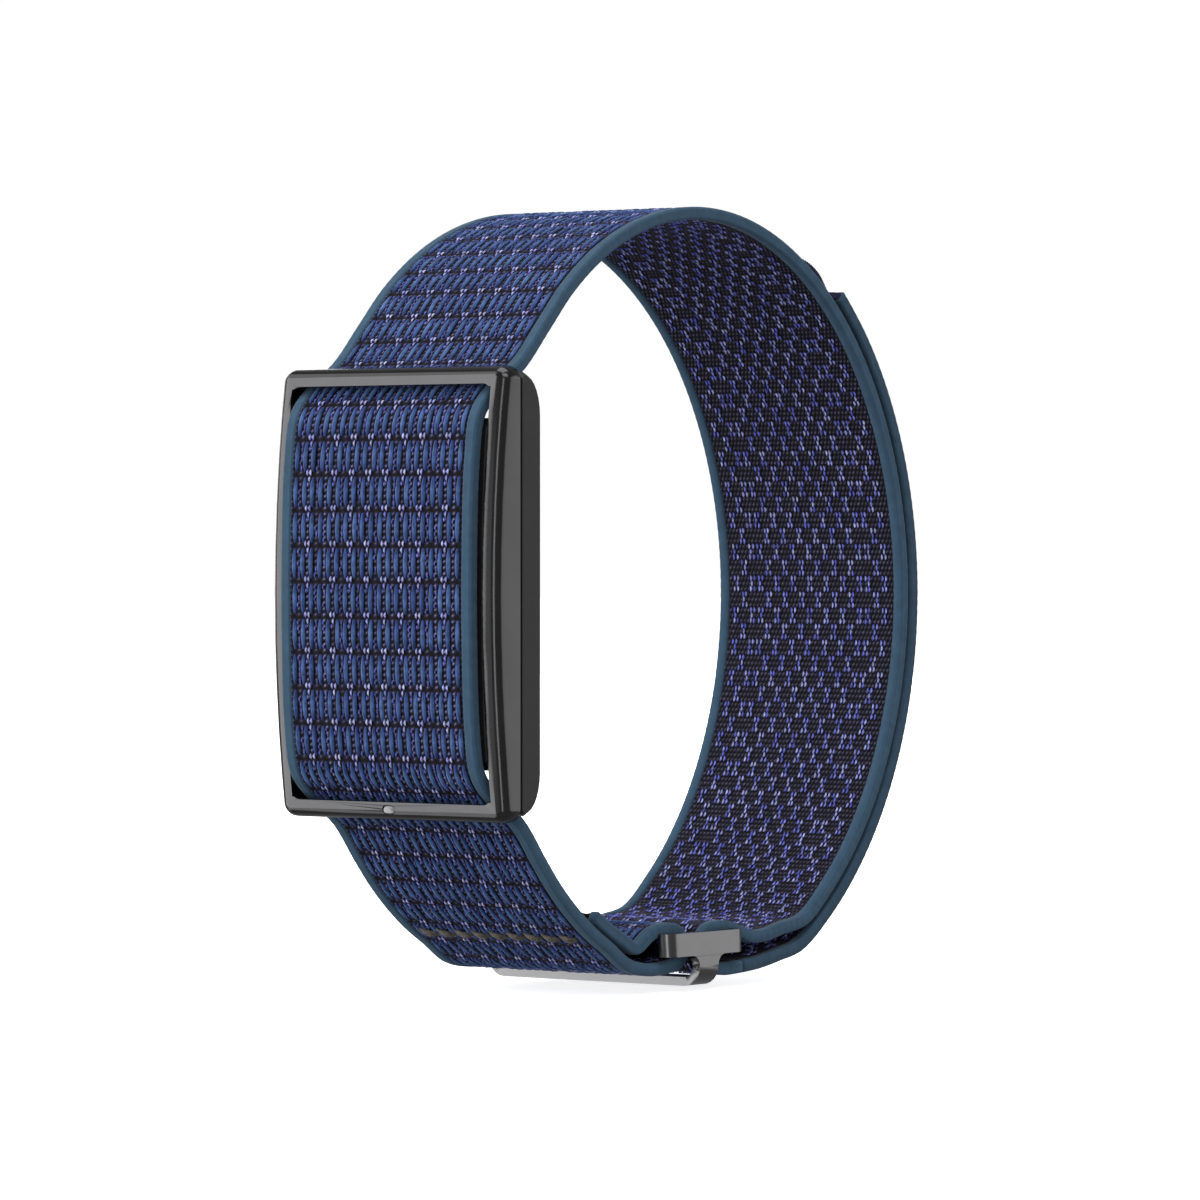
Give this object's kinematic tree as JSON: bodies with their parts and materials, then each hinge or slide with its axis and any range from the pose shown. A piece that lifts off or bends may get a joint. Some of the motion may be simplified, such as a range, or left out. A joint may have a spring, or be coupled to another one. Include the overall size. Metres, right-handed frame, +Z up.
{
  "type": "fitness tracker band",
  "caption": "Screenless fitness tracker in a satin metal frame on a navy woven hook-and-loop wrist band with blue bound edges and a metal clasp.",
  "frame": {"origin": "centre of the wrist inside the band", "axes": "+X along the forearm, -Y out of the tracker's front, +Z up along the tracker's long side"},
  "size_m": [0.027, 0.0729, 0.0746],
  "materials": {
    "gunmetal": "satin bead-blasted gunmetal",
    "clasp_metal": "satin gunmetal",
    "shell_plastic": "fine matte, dark grey",
    "navy_webbing": "navy and periwinkle jacquard weave",
    "steel_blue_tape": "steel blue knitted edge",
    "brown_thread": "polyester sewing thread",
    "hook_nylon": "micro hook nylon",
    "black_plastic": "matte black",
    "seal_rubber": "matte black rubber",
    "screw_steel": "plain steel",
    "window_glass": "dark gloss",
    "board_laminate": "green solder mask",
    "chip_black": "moulded chip package",
    "shield_tin": "tin-plated sheet",
    "cell_foil": "laminated foil pouch",
    "foam_pad": "closed-cell foam",
    "flex_amber": "amber polyimide",
    "contact_gold": "gold plated",
    "led_lens": "clear moulded resin",
    "diode_silicon": "dark silicon under clear resin",
    "magnet_nickel": "nickel plated",
    "status_lens": "smoked translucent lens"
  },
  "bodies": {
    "band": {"antenna_strip": "contact_gold", "back_shell": "shell_plastic", "battery_cell": "cell_foil", "battery_flex": "flex_amber", "battery_foam": "foam_pad", "charge_contact_1": "contact_gold", "charge_contact_2": "contact_gold", "dock_magnet_1": "magnet_nickel", "dock_magnet_2": "magnet_nickel", "edge_binding_far": "steel_blue_tape", "edge_binding_near": "steel_blue_tape", "eye_stitching": "brown_thread", "front_cover": "black_plastic", "green_led_1": "led_lens", "green_led_2": "led_lens", "haptic_base": "screw_steel", "haptic_cap": "screw_steel", "hinge_pin_far": "screw_steel", "hinge_pin_near": "screw_steel", "housing_seal": "seal_rubber", "light_barrier": "black_plastic", "main_board": "board_laminate", "memory_chip": "chip_black", "motion_sensor_chip": "chip_black", "photodiode_1": "diode_silicon", "photodiode_2": "diode_silicon", "photodiode_3": "diode_silicon", "photodiode_4": "diode_silicon", "processor_chip": "chip_black", "radio_chip": "chip_black", "red_ir_led": "led_lens", "sensor_board": "board_laminate", "sensor_flex": "flex_amber", "sensor_window": "window_glass", "shield_can": "shield_tin", "skin_thermistor": "screw_steel", "woven_strap": "navy_webbing"},
    "tail": {"strap_tail": "navy_webbing", "tail_binding_near": "steel_blue_tape", "tail_binding_far": "steel_blue_tape", "hook_patch": "hook_nylon"},
    "clasp": {"clasp_frame": "clasp_metal"},
    "bezel": {"metal_frame": "gunmetal", "status_lens": "status_lens"},
    "rotor": {"haptic_rotor": "magnet_nickel"}
  },
  "joints": [
    {"name": "tail_peel", "type": "hinge", "parent": "band", "child": "tail", "pos_m": [0, 0.0064, -0.03695], "axis": [-1, 0, 0], "range_deg": [0, 70]},
    {"name": "clasp_rock", "type": "hinge", "parent": "band", "child": "clasp", "pos_m": [0, -0.0073, -0.0339], "axis": [1, 0, 0], "range_deg": [-1, 1]},
    {"name": "frame_lift", "type": "hinge", "parent": "band", "child": "bezel", "pos_m": [0, -0.0307, -0.0198], "axis": [1, 0, 0], "range_deg": [0, 60]},
    {"name": "haptic_spin", "type": "hinge", "parent": "band", "child": "rotor", "pos_m": [0.0056, -0.0325, -0.0095], "axis": [0, 1, 0], "continuous": true}
  ]
}
